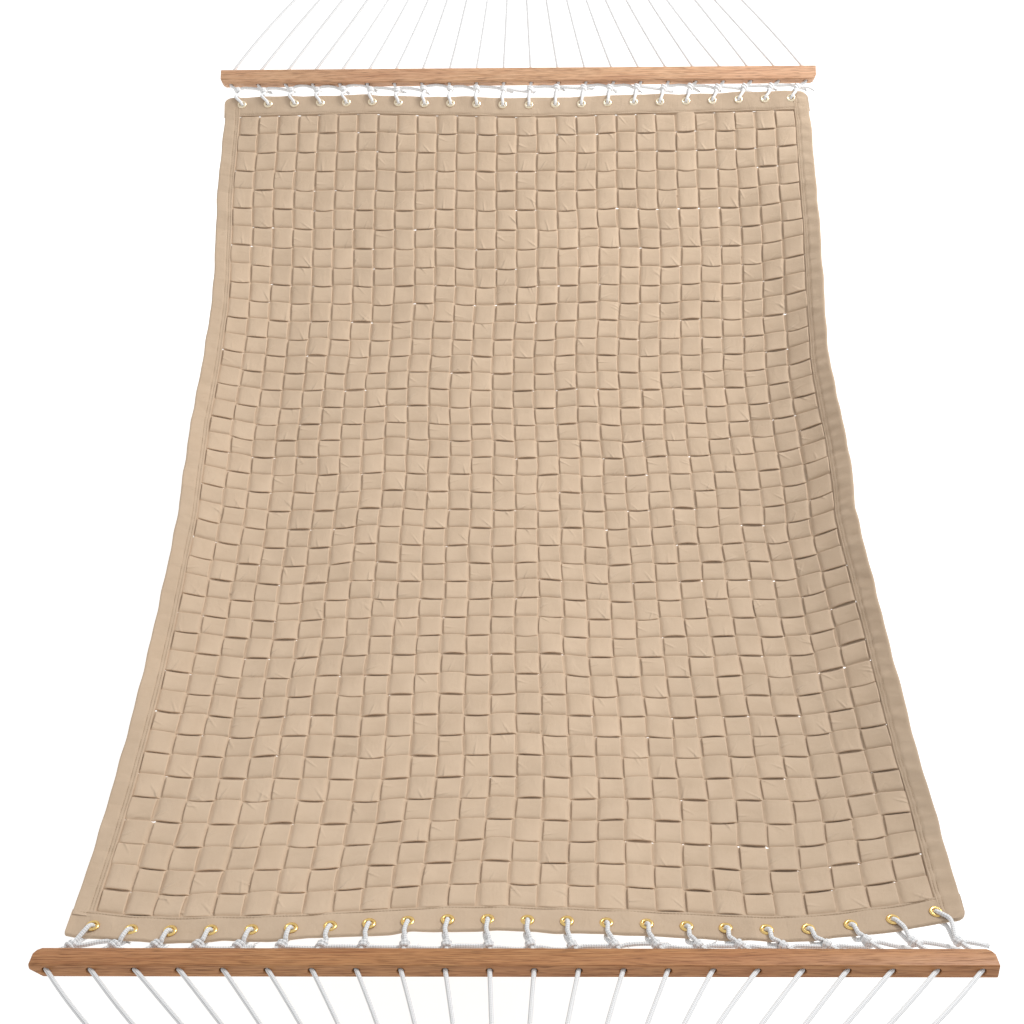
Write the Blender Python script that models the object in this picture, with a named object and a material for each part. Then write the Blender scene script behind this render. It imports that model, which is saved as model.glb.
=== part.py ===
"""A woven hammock with a wooden spreader bar at each end, hanging empty between two S-hooks.

Metres, +Z up. X runs across the hammock, along the bars, and Y runs from the foot end to the head end.
The origin is the middle of the foot hook's upper bowl, where the hammock hangs. The head end is the
foot end mirrored in Y.
"""

import math

import bmesh
import bpy
from mathutils import Vector

# How the hammock hangs
BAR_SPAN = 2.110  # foot bar to head bar, along Y
BED_SAG = 0.243  # middle of the bed below the bars
BAR_TO_RING = 0.850  # bar to ring centre, along the slope of the ropes
ROPE_SLOPE = math.radians(35)
BAR_TILT = math.radians(25.2)
HEM_SLOPE = math.radians(23.2)

# Spreader bars
BAR_LENGTH = 1.397
BAR_DEPTH = 0.034  # the way the ropes run
BAR_HEIGHT = 0.024
BAR_ROUNDING = 0.0025
BAR_CORNER = 0.012  # cut off the corners towards the bed
HOLE_MARGIN = 0.0235  # outermost hole to the bar's end

# Ropes
ROPES = 22  # at each end
ROPE_RADIUS = 0.0035
ROPE_SIDES_RESOLUTION = 1
HOLE_CLEARANCE = 0.0019
STRAIGHT_PAST_BAR = 0.006
TAIL_REACH = 0.016  # how far the knotted end comes back past the hem's edge

# Bed
BED_WIDTH = 1.340
PANEL_THICKNESS = 0.009
HEM_THICKNESS = 0.010
SIDE_HEM_WIDTH = 0.035
END_HEM_WIDTH = 0.050
BAR_TO_HEM = 0.045  # bar's face to the hem's edge
GROMMET_INSET = 0.020  # hem's edge to the grommets
GROMMET_MARGIN = 0.040  # outermost grommet to the bed's edge
GROMMET_CLEARANCE = 0.0023
LEFT_EDGE_LIFT = 0.050  # the sides of the trough, at the middle of the bed
RIGHT_EDGE_LIFT = 0.085
LIFTED_WIDTH = 0.200  # how much of the bed's width curls up along each side
SHEET_STEPS = 12
SHEET_COLUMNS = (1.0, 0.88, 0.76, 0.62, 0.46, 0.24)  # shares of the half width, each side

# Gathered neck, ring and hook
WIRE_RADIUS = 0.004
WIRE_CLEARANCE = 0.0004
RING_RADIUS = 0.029
BOWL_RADIUS = 0.014
BOWL_SPACING = 0.050
HOOK_SWEEP = math.radians(244)
NECK_COLUMNS = (4, 5, 4, 5, 4)  # how the ropes are stacked where they are bound
NECK_CLEARANCE = 0.0004  # between the ropes where they are bound
NECK_STRAIGHT = 0.012  # how far the ropes run straight out of the neck
GATHER_LENGTH = 0.060  # from the neck to where the ropes fan out
GATHER_SPREAD = 1.5
NECK_WALL = 0.001
NECK_LENGTH = 0.055
NECK_TO_RING = 0.020
EYE_RADIUS = 0.007
EYE_OVERLAP = 0.010  # how far the eye's legs run into the neck

GAP = 0.0003  # between pieces that touch
ROUND_SIDES = 8
HOLE_SIDES = 8
RING_STEPS = 24
CORNER_TURN = math.radians(36)  # a bend is rounded with one step for each of these
SHARP_ANGLE = math.radians(40)

WOOD = ("oak", (0.47, 0.25, 0.13, 1.0), 0.45, 0.0)
FABRIC = ("tan_weave", (0.58, 0.45, 0.32, 1.0), 0.9, 0.0)
ROPE = ("white_rope", (0.85, 0.85, 0.83, 1.0), 0.8, 0.0)
STEEL = ("zinc_steel", (0.62, 0.63, 0.64, 1.0), 0.35, 1.0)

ROPE_WAY = Vector((0.0, math.cos(ROPE_SLOPE), -math.sin(ROPE_SLOPE)))
ROPE_UP = Vector((0.0, math.sin(ROPE_SLOPE), math.cos(ROPE_SLOPE)))
BAR_WAY = Vector((0.0, math.cos(BAR_TILT), -math.sin(BAR_TILT)))
HEM_WAY = Vector((0.0, math.cos(HEM_SLOPE), -math.sin(HEM_SLOPE)))
HEM_UP = Vector((0.0, math.sin(HEM_SLOPE), math.cos(HEM_SLOPE)))
ACROSS = Vector((1.0, 0.0, 0.0))

# Distances from the hook's upper bowl, along the ropes
SWING_DISTANCE = BOWL_SPACING + BOWL_RADIUS
RING_DISTANCE = SWING_DISTANCE - 2 * WIRE_RADIUS - WIRE_CLEARANCE + RING_RADIUS
EYE_DISTANCE = RING_DISTANCE + RING_RADIUS
NECK_START = EYE_DISTANCE + NECK_TO_RING
NECK_END = NECK_START + NECK_LENGTH
BAR_CENTRE = ROPE_WAY * (RING_DISTANCE + BAR_TO_RING)
SWING_HEIGHT = ROPE_WAY.z * SWING_DISTANCE

HEM_EDGE = BAR_CENTRE + BAR_WAY * (BAR_DEPTH / 2 + BAR_TO_HEM)
HEM_INNER = HEM_EDGE + HEM_WAY * END_HEM_WIDTH
BED_MIDDLE_Y = BAR_CENTRE.y + BAR_SPAN / 2
BED_MIDDLE_Z = BAR_CENTRE.z - BED_SAG
HALF_WIDTH = BED_WIDTH / 2
HOLE_PITCH = (BAR_LENGTH - 2 * HOLE_MARGIN) / (ROPES - 1)
GROMMET_PITCH = (BED_WIDTH - 2 * GROMMET_MARGIN) / (ROPES - 1)
NECK_PITCH = 2 * ROPE_RADIUS + NECK_CLEARANCE


def mirrored(end, point):
    """A point of the foot end, or its twin at the head end."""
    if end == "head":
        return Vector((point.x, 2 * BED_MIDDLE_Y - point.y, point.z))
    return Vector(point)


def material(finish):
    name, colour, roughness, metallic = finish
    made = bpy.data.materials.get(name)
    if made is None:
        made = bpy.data.materials.new(name)
        made.use_nodes = True
        shader = made.node_tree.nodes["Principled BSDF"]
        shader.inputs["Base Color"].default_value = colour
        shader.inputs["Roughness"].default_value = roughness
        shader.inputs["Metallic"].default_value = metallic
    return made


def swing_empty(name):
    """The parent of one half of the hammock, on the line that it swings about."""
    empty = bpy.data.objects.new(name, None)
    empty.location = (0.0, BED_MIDDLE_Y, SWING_HEIGHT)
    bpy.context.scene.collection.objects.link(empty)
    return empty


def attach(piece, parent):
    if parent is not None:
        bpy.context.view_layer.update()
        piece.parent = parent
        piece.matrix_parent_inverse = parent.matrix_world.inverted()


def mesh_object(name, made, finish, smooth=True):
    """An object from a bmesh, with its faces turned outwards."""
    bmesh.ops.recalc_face_normals(made, faces=made.faces)
    mesh = bpy.data.meshes.new(name)
    made.to_mesh(mesh)
    made.free()
    if smooth:
        mesh.shade_smooth()
        mesh.set_sharp_from_angle(angle=SHARP_ANGLE)
    mesh.materials.append(material(finish))
    piece = bpy.data.objects.new(name, mesh)
    bpy.context.scene.collection.objects.link(piece)
    return piece


def cutter(name, made):
    piece = mesh_object(name, made, WOOD, smooth=False)
    piece.hide_render = True
    piece.display_type = "WIRE"
    return piece


def add_cylinder(made, start, end, radius, sides):
    """A capped cylinder in a bmesh, from one point to another."""
    along = (end - start).normalized()
    side = along.orthogonal().normalized()
    up = along.cross(side)
    rings = []
    for centre in (start, end):
        ring = []
        for step in range(sides):
            angle = math.tau * step / sides
            ring.append(made.verts.new(centre + radius * (math.cos(angle) * side + math.sin(angle) * up)))
        rings.append(ring)
    for step in range(sides):
        following = (step + 1) % sides
        made.faces.new((rings[0][step], rings[0][following], rings[1][following], rings[1][step]))
    made.faces.new(rings[0])
    made.faces.new(rings[1])


def add_level_tube(made, points, radius):
    """A capped tube in a bmesh, along points in one plane across X."""
    sections = []
    for index, point in enumerate(points):
        before = points[max(index - 1, 0)]
        after = points[min(index + 1, len(points) - 1)]
        up = (after - before).normalized().cross(ACROSS)
        section = []
        for side in range(ROUND_SIDES):
            angle = math.tau * side / ROUND_SIDES
            section.append(made.verts.new(point + radius * (math.cos(angle) * ACROSS + math.sin(angle) * up)))
        sections.append(section)
    for section, following in zip(sections, sections[1:]):
        for side in range(ROUND_SIDES):
            beside = (side + 1) % ROUND_SIDES
            made.faces.new((section[side], section[beside], following[beside], following[side]))
    made.faces.new(sections[0])
    made.faces.new(sections[-1])


def tube(name, points, radius, resolution, finish):
    """A round tube with closed ends along a list of points."""
    curve = bpy.data.curves.new(name, "CURVE")
    curve.dimensions = "3D"
    curve.bevel_depth = radius
    curve.bevel_resolution = resolution
    curve.use_fill_caps = True
    spline = curve.splines.new("POLY")
    spline.points.add(len(points) - 1)
    for target, point in zip(spline.points, points):
        target.co = (*point, 1.0)
    curve.materials.append(material(finish))
    piece = bpy.data.objects.new(name, curve)
    bpy.context.scene.collection.objects.link(piece)
    return piece


def rounded(corners, reach):
    """A path through its corners, each sharp one rounded by a short curve that starts reach before it."""
    path = [corners[0]]
    for before, corner, after in zip(corners, corners[1:], corners[2:]):
        arm_in = before - corner
        arm_out = after - corner
        steps = round((math.pi - arm_in.angle(arm_out)) / CORNER_TURN)
        if steps == 0:
            path.append(corner)
            continue
        start = corner + arm_in * min(reach / arm_in.length, 0.45)
        end = corner + arm_out * min(reach / arm_out.length, 0.45)
        for step in range(steps + 1):
            share = step / steps
            path.append(start.lerp(corner, share).lerp(corner.lerp(end, share), share))
    path.append(corners[-1])
    return path


def spreader_bar(end, parent):
    """A bar with rounded edges, the corners towards the bed cut off, and a hole for each rope."""
    half_length = BAR_LENGTH / 2
    half_depth = BAR_DEPTH / 2
    outline = [
        (half_length, half_depth - BAR_CORNER),
        (half_length - BAR_CORNER, half_depth),
        (BAR_CORNER - half_length, half_depth),
        (-half_length, half_depth - BAR_CORNER),
        (-half_length, -half_depth),
        (half_length, -half_depth),
    ]
    bed_side = 1 if end == "foot" else -1
    made = bmesh.new()
    base = made.faces.new([made.verts.new((x, bed_side * y, -BAR_HEIGHT / 2)) for x, y in outline])
    raised = bmesh.ops.extrude_face_region(made, geom=[base])
    top = [item for item in raised["geom"] if isinstance(item, bmesh.types.BMVert)]
    bmesh.ops.translate(made, verts=top, vec=(0.0, 0.0, BAR_HEIGHT))
    bar = mesh_object(f"{end}_spreader_bar", made, WOOD)
    rounding = bar.modifiers.new("rounded_edges", "BEVEL")
    rounding.width = BAR_ROUNDING
    rounding.segments = 1

    holes = bmesh.new()
    for rope in range(ROPES):
        x = (rope - (ROPES - 1) / 2) * HOLE_PITCH
        start = Vector((x, -BAR_DEPTH, 0.0))
        add_cylinder(holes, start, start + Vector((0.0, 2 * BAR_DEPTH, 0.0)), ROPE_RADIUS + HOLE_CLEARANCE, HOLE_SIDES)
    drill = cutter(f"{end}_bar_holes", holes)
    drill.parent = bar
    cut = bar.modifiers.new("rope_holes", "BOOLEAN")
    cut.operation = "DIFFERENCE"
    cut.object = drill

    tilt = -BAR_TILT if end == "foot" else BAR_TILT
    bar.location = mirrored(end, BAR_CENTRE)
    bar.rotation_euler = (tilt, 0.0, 0.0)
    attach(bar, parent)


def neck_places():
    """Where each rope meets the neck, as (across, up) from its middle, in the order of the holes."""
    places = []
    for column, count in enumerate(NECK_COLUMNS):
        across = (column - (len(NECK_COLUMNS) - 1) / 2) * NECK_PITCH * math.sqrt(0.75)
        for level in range(count):
            places.append((across, (level - (count - 1) / 2) * NECK_PITCH))
    return places


def neck_radius():
    reach = max(math.hypot(across, up) for across, up in neck_places())
    return reach + ROPE_RADIUS + NECK_WALL


def rope_path(rope):
    """One rope of the foot end: out of the neck, through the bar, and down and back through the bed's hem."""
    share = rope - (ROPES - 1) / 2
    hole = ACROSS * share * HOLE_PITCH
    grommet = ACROSS * share * GROMMET_PITCH
    across, up = neck_places()[rope]
    over = HEM_UP * (HEM_THICKNESS / 2 + ROPE_RADIUS + GAP)
    seat = HEM_EDGE + HEM_WAY * GROMMET_INSET
    past_bar = BAR_WAY * (BAR_DEPTH / 2 + STRAIGHT_PAST_BAR)
    place = ACROSS * across + ROPE_UP * up
    corners = [
        ROPE_WAY * (NECK_END + GAP) + place,
        ROPE_WAY * (NECK_END + NECK_STRAIGHT) + place,
        ROPE_WAY * (NECK_END + GATHER_LENGTH) + place * GATHER_SPREAD,
        BAR_CENTRE - past_bar + hole,
        BAR_CENTRE + past_bar + hole,
        HEM_EDGE - HEM_WAY * ROPE_RADIUS + over + grommet,
        seat + over + grommet,
        seat - over + grommet,
        HEM_EDGE - HEM_WAY * TAIL_REACH - over + grommet,
    ]
    return rounded(corners, 2 * ROPE_RADIUS)


def ropes(end, parent):
    for rope in range(ROPES):
        points = [mirrored(end, point) for point in rope_path(rope)]
        piece = tube(f"{end}_rope_{rope + 1:02d}", points, ROPE_RADIUS, ROPE_SIDES_RESOLUTION, ROPE)
        attach(piece, parent)


def end_hem(end, parent):
    """The band at the end of the bed, with a hole for each grommet."""
    made = bmesh.new()
    half_up = HEM_UP * HEM_THICKNESS / 2
    ring = []
    for corner, up in ((HEM_EDGE, 1), (HEM_INNER, 1), (HEM_INNER, -1), (HEM_EDGE, -1)):
        ring.append(corner + half_up * up)
    left = [made.verts.new(mirrored(end, point - ACROSS * HALF_WIDTH)) for point in ring]
    right = [made.verts.new(mirrored(end, point + ACROSS * HALF_WIDTH)) for point in ring]
    made.faces.new(left)
    made.faces.new(right)
    for side in range(4):
        following = (side + 1) % 4
        made.faces.new((left[side], left[following], right[following], right[side]))
    hem = mesh_object(f"{end}_end_hem", made, FABRIC, smooth=False)

    holes = bmesh.new()
    for rope in range(ROPES):
        across = ACROSS * (rope - (ROPES - 1) / 2) * GROMMET_PITCH
        centre = HEM_EDGE + HEM_WAY * GROMMET_INSET + across
        low = mirrored(end, centre - 2 * half_up)
        high = mirrored(end, centre + 2 * half_up)
        add_cylinder(holes, low, high, ROPE_RADIUS + GROMMET_CLEARANCE, HOLE_SIDES)
    punch = cutter(f"{end}_hem_holes", holes)
    cut = hem.modifiers.new("grommet_holes", "BOOLEAN")
    cut.operation = "DIFFERENCE"
    cut.object = punch
    attach(punch, parent)
    attach(hem, parent)


def bed_point(x, share):
    """The middle surface of the bed's foot half, where share is 0 at the end hem and 1 at the middle."""
    start = HEM_INNER.y + GAP
    half_run = BED_MIDDLE_Y - start
    drop = HEM_INNER.z - BED_MIDDLE_Z
    power = math.tan(HEM_SLOPE) * half_run / drop
    y = start + half_run * share
    z = BED_MIDDLE_Z + drop * (1 - share) ** power
    lift = RIGHT_EDGE_LIFT if x > 0 else LEFT_EDGE_LIFT
    curl = max(0.0, abs(x) - (HALF_WIDTH - LIFTED_WIDTH)) / LIFTED_WIDTH
    z += lift * math.sin(math.pi / 2 * share) * curl**2
    return Vector((x, y, z))


def bed_normal(x, share):
    step = 0.001
    along = bed_point(x, share + step) - bed_point(x, share - step) if 0 < share < 1 else None
    if share >= 1:
        along = Vector((0.0, 1.0, 0.0))
    elif share <= 0:
        along = HEM_WAY
    across = bed_point(x + step, share) - bed_point(x - step, share)
    return across.cross(along).normalized()


def bed_sheet(name, end, columns, thickness, parent):
    """Half of a closed sheet on the bed's surface, over a list of places across it."""
    made = bmesh.new()
    layers = []
    for side in (0.5, -0.5):
        layer = []
        for step in range(SHEET_STEPS + 1):
            share = step / SHEET_STEPS
            line = []
            for x in columns:
                point = bed_point(x, share) + bed_normal(x, share) * thickness * side
                if step == SHEET_STEPS:
                    point.y = BED_MIDDLE_Y - GAP
                line.append(made.verts.new(mirrored(end, point)))
            layer.append(line)
        layers.append(layer)
    top, bottom = layers
    last = len(columns) - 1
    for row in range(SHEET_STEPS):
        for column in range(last):
            for layer in layers:
                made.faces.new(
                    (layer[row][column], layer[row][column + 1], layer[row + 1][column + 1], layer[row + 1][column])
                )
        for column in (0, last):
            made.faces.new((top[row][column], top[row + 1][column], bottom[row + 1][column], bottom[row][column]))
    for row in (0, SHEET_STEPS):
        for column in range(last):
            made.faces.new((top[row][column], top[row][column + 1], bottom[row][column + 1], bottom[row][column]))
    attach(mesh_object(name, made, FABRIC), parent)


def woven_panel(end, parent):
    half = HALF_WIDTH - SIDE_HEM_WIDTH - GAP
    columns = [-half * share for share in SHEET_COLUMNS]
    columns += [half * share for share in reversed(SHEET_COLUMNS)]
    bed_sheet(f"{end}_woven_panel", end, columns, PANEL_THICKNESS, parent)


def side_hem(end, side, parent):
    inner = HALF_WIDTH - SIDE_HEM_WIDTH
    columns = [inner, HALF_WIDTH]
    if side == "left":
        columns = [-x for x in columns]
    bed_sheet(f"{end}_{side}_side_hem", end, columns, HEM_THICKNESS, parent)


def ring(end, parent):
    """A round steel ring lying in the plane of the ropes."""
    made = bmesh.new()
    rings = []
    for step in range(RING_STEPS):
        turn = math.tau * step / RING_STEPS
        outward = ACROSS * math.sin(turn) - ROPE_WAY * math.cos(turn)
        section = []
        for side in range(ROUND_SIDES):
            angle = math.tau * side / ROUND_SIDES
            reach = RING_RADIUS + WIRE_RADIUS * math.cos(angle)
            point = ROPE_WAY * RING_DISTANCE + outward * reach + ROPE_UP * WIRE_RADIUS * math.sin(angle)
            section.append(made.verts.new(mirrored(end, point)))
        rings.append(section)
    for step in range(RING_STEPS):
        section = rings[step]
        following = rings[(step + 1) % RING_STEPS]
        for side in range(ROUND_SIDES):
            beside = (side + 1) % ROUND_SIDES
            made.faces.new((section[side], section[beside], following[beside], following[side]))
    attach(mesh_object(f"{end}_ring", made, STEEL), parent)


def arc(centre, start, sweep, radius, steps):
    """Points on an arc in the plane of the ropes' slope, with its angle taken from the ropes' way to up."""
    points = []
    for step in range(steps + 1):
        angle = start + sweep * step / steps
        points.append(centre + radius * (math.cos(angle) * ROPE_WAY + math.sin(angle) * ROPE_UP))
    return points


def s_hook(end):
    """Two bowls joined by a slanting spine: the upper one hangs and the lower one holds the ring."""
    steps = 10
    tangent = math.acos(2 * BOWL_RADIUS / BOWL_SPACING)
    upper = arc(Vector(), tangent + HOOK_SWEEP, -HOOK_SWEEP, BOWL_RADIUS, steps)
    lower = arc(ROPE_WAY * BOWL_SPACING, tangent + math.pi, HOOK_SWEEP, BOWL_RADIUS, steps)
    points = [mirrored(end, point) for point in upper + lower]
    tube(f"{end}_s_hook", points, WIRE_RADIUS, 2, STEEL)


def neck(end, parent):
    """The bound neck of the ropes, with the eye that holds the ring."""
    made = bmesh.new()
    start = mirrored(end, ROPE_WAY * NECK_START)
    finish = mirrored(end, ROPE_WAY * NECK_END)
    add_cylinder(made, start, finish, neck_radius(), 2 * ROUND_SIDES)
    body = mesh_object(f"{end}_rope_neck", made, ROPE)

    loop = bmesh.new()
    bend = EYE_RADIUS + WIRE_RADIUS + WIRE_CLEARANCE
    turn = arc(ROPE_WAY * EYE_DISTANCE, math.pi / 2, math.pi, bend, ROUND_SIDES)
    leg = ROPE_WAY * (NECK_TO_RING + EYE_OVERLAP)
    add_level_tube(loop, [mirrored(end, point) for point in [turn[0] + leg, *turn, turn[-1] + leg]], EYE_RADIUS)
    eye = cutter(f"{end}_eye_loop", loop)
    joined = body.modifiers.new("eye", "BOOLEAN")
    joined.operation = "UNION"
    joined.object = eye
    attach(eye, parent)
    attach(body, parent)


def build():
    for old in list(bpy.data.objects):
        bpy.data.objects.remove(old, do_unlink=True)
    for end in ("foot", "head"):
        half = swing_empty(f"{end}_half")
        s_hook(end)
        ring(end, half)
        neck(end, half)
        spreader_bar(end, half)
        ropes(end, half)
        end_hem(end, half)
        woven_panel(end, half)
        side_hem(end, "left", half)
        side_hem(end, "right", half)


build()
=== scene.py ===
"""The look of the woven hammock: strips, hems, ropes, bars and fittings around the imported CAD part."""

import math

import bmesh
import bpy
import numpy as np
from mathutils import Matrix, Vector


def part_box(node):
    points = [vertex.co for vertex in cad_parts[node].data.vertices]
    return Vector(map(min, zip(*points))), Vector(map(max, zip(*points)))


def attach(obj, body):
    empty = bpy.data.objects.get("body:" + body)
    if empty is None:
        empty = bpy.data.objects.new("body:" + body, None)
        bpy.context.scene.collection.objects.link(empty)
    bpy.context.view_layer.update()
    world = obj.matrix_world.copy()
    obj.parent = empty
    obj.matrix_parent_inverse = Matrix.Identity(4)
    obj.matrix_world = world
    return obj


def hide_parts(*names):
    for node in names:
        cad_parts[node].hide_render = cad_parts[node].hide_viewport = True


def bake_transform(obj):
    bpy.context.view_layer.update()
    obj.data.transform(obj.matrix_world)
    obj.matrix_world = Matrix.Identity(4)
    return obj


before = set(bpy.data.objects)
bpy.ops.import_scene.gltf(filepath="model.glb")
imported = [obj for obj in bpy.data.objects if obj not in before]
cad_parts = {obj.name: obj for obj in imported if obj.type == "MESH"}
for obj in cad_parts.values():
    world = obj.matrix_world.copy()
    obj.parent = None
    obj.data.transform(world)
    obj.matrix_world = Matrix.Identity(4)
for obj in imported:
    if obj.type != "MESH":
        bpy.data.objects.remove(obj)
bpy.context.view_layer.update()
rng = np.random.default_rng(11)


def centre_of(node):
    low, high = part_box(node)
    return np.array((low + high) / 2)


def size_of(node):
    low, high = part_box(node)
    return np.array(high - low)


# ---------------------------------------------------------------- places, from the CAD boxes
X = np.array((1.0, 0.0, 0.0))
BAR_TILT = math.radians(25.2)
HEM_SLOPE = math.radians(23.2)
BAR = centre_of("foot_spreader_bar")
HEAD_BAR = centre_of("head_spreader_bar")
RING = centre_of("foot_ring")
HOOK = centre_of("foot_s_hook")
HEM = centre_of("foot_end_hem")
MIDDLE_Y = (BAR[1] + HEAD_BAR[1]) / 2
ROPE_WAY = (BAR - RING) / np.linalg.norm(BAR - RING)
ROPE_UP = np.cross(X, ROPE_WAY)
BAR_WAY = np.array((0.0, math.cos(BAR_TILT), -math.sin(BAR_TILT)))
HEM_WAY = np.array((0.0, math.cos(HEM_SLOPE), -math.sin(HEM_SLOPE)))

BAR_LENGTH = size_of("foot_spreader_bar")[0]
BAR_DEPTH = 0.034
BAR_HEIGHT = 0.024
BAR_END = 0.0235  # from a bar's end to its first hole
ROPES = 22
ROPE_RADIUS = 0.0035
HOLE_RADIUS = 0.0054
HOLE_PITCH = (BAR_LENGTH - 2 * BAR_END) / (ROPES - 1)
BED_WIDTH = size_of("foot_end_hem")[0]
HALF_WIDTH = BED_WIDTH / 2
GROMMET_MARGIN = 0.040
GROMMET_PITCH = (BED_WIDTH - 2 * GROMMET_MARGIN) / (ROPES - 1)
END_HEM_WIDTH = 0.050
SIDE_HEM_WIDTH = 0.035
GROMMET_INSET = 0.020
HEM_INNER = HEM + HEM_WAY * END_HEM_WIDTH / 2
PANEL_THICKNESS = 0.009
MIDDLE_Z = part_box("foot_woven_panel")[0].z + PANEL_THICKNESS / 2
LEFT_LIFT = 0.050  # how far each side of the bed curls up, over the lifted width
RIGHT_LIFT = 0.085
LIFTED_WIDTH = 0.200

COLUMNS = 28
ROWS = 42
STRIP_THICKNESS = 0.0034
HEM_THICKNESS = 0.0062
ON_TOP = 0.0013  # how far a side hem rises where it runs on over an end hem


def unit(v):
    return v / np.maximum(np.linalg.norm(v, axis=-1, keepdims=True), 1e-12)


def mirrored(points, end):
    """Points of the foot end, or their twins at the head end."""
    points = np.array(points, float)
    if end == "head":
        points[..., 1] = 2 * MIDDLE_Y - points[..., 1]
    return points


# ---------------------------------------------------------------- the bed's surface
def bed_profile():
    """Y and Z of the bed's line from the foot hem to the head hem, against the length along it."""
    half_run = MIDDLE_Y - HEM_INNER[1]
    drop = HEM_INNER[2] - MIDDLE_Z
    power = math.tan(HEM_SLOPE) * half_run / drop
    share = np.linspace(0, 1, 1200)
    y = HEM_INNER[1] + half_run * share
    z = MIDDLE_Z + drop * (1 - share) ** power
    y = np.concatenate([y, 2 * MIDDLE_Y - y[-2::-1]])
    z = np.concatenate([z, z[-2::-1]])
    share = np.concatenate([share, share[-2::-1]])
    length = np.concatenate([[0], np.cumsum(np.hypot(np.diff(y), np.diff(z)))])
    return length, y, z, share


LINE, LINE_Y, LINE_Z, LINE_SHARE = bed_profile()
BED_LENGTH = LINE[-1]
ROW_PITCH = BED_LENGTH / ROWS
INNER_HALF = HALF_WIDTH - SIDE_HEM_WIDTH
COLUMN_PITCH = 2 * INNER_HALF / COLUMNS


def waves(x, s, table):
    """A sum of slow waves over the bed."""
    total = 0.0
    for size, across, along, phase in table:
        total = total + size * np.sin(across * x + along * s + phase)
    return total


HEIGHT_WAVES = [
    (0.0018, 9.0, 4.0, 0.4),
    (0.0015, -6.0, 9.5, 1.9),
    (0.0010, 21.0, 6.0, 2.7),
    (0.0008, 15.0, -17.0, 0.9),
    (0.0006, -34.0, 24.0, 4.1),
    (0.0004, 71.0, 38.0, 1.1),
]
SIDE_WAVES = [
    (0.0018, 3.0, 7.5, 0.8),
    (0.0010, -5.0, 16.0, 2.2),
    (0.0007, 8.0, 31.0, 5.0),
    (0.0005, 40.0, 52.0, 1.7),
]
LENGTH_WAVES = [
    (0.0026, 8.0, 2.0, 1.1),
    (0.0018, 19.0, -3.0, 3.0),
    (0.0013, -33.0, 5.0, 0.2),
    (0.0008, 58.0, 13.0, 2.4),
]

# How the real bed stands off the CAD's even one, read from the photo. S is along the bed, X across it
ROW_SHIFT = np.array([
    -4.6, -4.3, -3.4, -2.4, -2.2, -0.3, 1.2, 4.2, 5.2, 6, 7.3, 9, 10.5, 10.4, 9.6, 8.8, 7.7, 6.7,
    5.4, 4.2, 3.5, 3, 2.2, 1, -2.2, -6.4, -8.8, -9.2, -11.2, -13.6, -15.6, -15.2, -14.3, -13.8,
    -12.2, -8.4, -4.6, -0.4, 4, 6.8, 8.5, 9.5, 9.5,
]) / 1000
LEFT_S = np.array([-0.05, 0, 0.4, 0.9, 1, 1.14, 1.3, 1.47, 1.54, 1.6, 1.67, 1.74, 1.81, 1.96, 2.01])
LEFT_SHIFT = np.array([
    5, 1.5, -0.5, -1, -5, -8, -5, -3.5, -5.7, -9.7, -13.5, -18.5, -19.5, -16.5, -17.4,
]) / 1000
RIGHT_S = np.array([
    -0.03, 0.02, 0.2, 0.3, 0.42, 0.6, 0.7, 0.87, 0.95, 1.05, 1.25, 1.31, 1.44, 1.51, 1.58, 1.65,
    1.86, 1.93, 2,
])
RIGHT_SHIFT = np.array([
    8, 11, 10, 6, 5.5, 1, -3, -9, -4.5, -3, -9, -9.7, -4, 0.4, 4.7, 9, 12.2, 13, 8,
]) / 1000
FOOT_X = np.array([
    -0.67, -0.63, -0.57, -0.51, -0.45, -0.39, -0.33, -0.27, -0.21, -0.15, -0.09, 0, 0.09, 0.15,
    0.21, 0.27, 0.33, 0.39, 0.45, 0.51, 0.57, 0.63, 0.67,
])
FOOT_ALONG = np.array([
    -4, -9, -15.5, -17.5, -17, -15.5, -11.5, -6.5, -1.5, 2, 3.5, 3, 0.5, -2.5, -5.5, -9, -11.5,
    -13, -11.5, -4, 6, 22, 30,
]) / 1000
FOOT_ACROSS = np.array([
    1.5, 1.2, 0.5, -0.2, 0, 0.6, -0.5, -2.6, -5, -7.3, -7.6, -7.5, -8.6, -9.8, -9.9, -11, -13,
    -12.8, -11, -6.5, -1.6, 6.2, 11,
]) / 1000
FOOT_REACH = 0.32  # how far into the bed the hems' own shifts reach
HEAD_REACH = 0.22
HEAD_X = np.array([-0.67, -0.63, -0.51, -0.33, -0.15, 0, 0.15, 0.33, 0.51, 0.63, 0.67])
HEAD_ALONG = np.array([0, 4, 6, 8, 2.5, -2.5, -0.5, 3, 7, 10, 8]) / 1000


def bed(x, s):
    """The bed's middle surface. s below 0 and past BED_LENGTH is on the end hems."""
    x, s = np.broadcast_arrays(np.asarray(x, float), np.asarray(s, float))
    inside = np.clip(s, 0, BED_LENGTH)
    y = np.interp(inside, LINE, LINE_Y)
    z = np.interp(inside, LINE, LINE_Z)
    share = np.interp(inside, LINE, LINE_SHARE)
    before = np.minimum(s, 0)
    after = np.maximum(s - BED_LENGTH, 0)
    y = y + before * HEM_WAY[1] + after * HEM_WAY[1]
    z = z + before * HEM_WAY[2] - after * HEM_WAY[2]
    lift = np.where(x > 0, RIGHT_LIFT, LEFT_LIFT)
    curl = np.clip(np.abs(x) - (HALF_WIDTH - LIFTED_WIDTH), 0, None) / LIFTED_WIDTH
    z = z + lift * np.sin(math.pi / 2 * share) * curl**2
    return np.stack([x, y, z], -1)


def eased(t):
    t = np.clip(t, 0, 1)
    return t * t * (3 - 2 * t)


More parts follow.
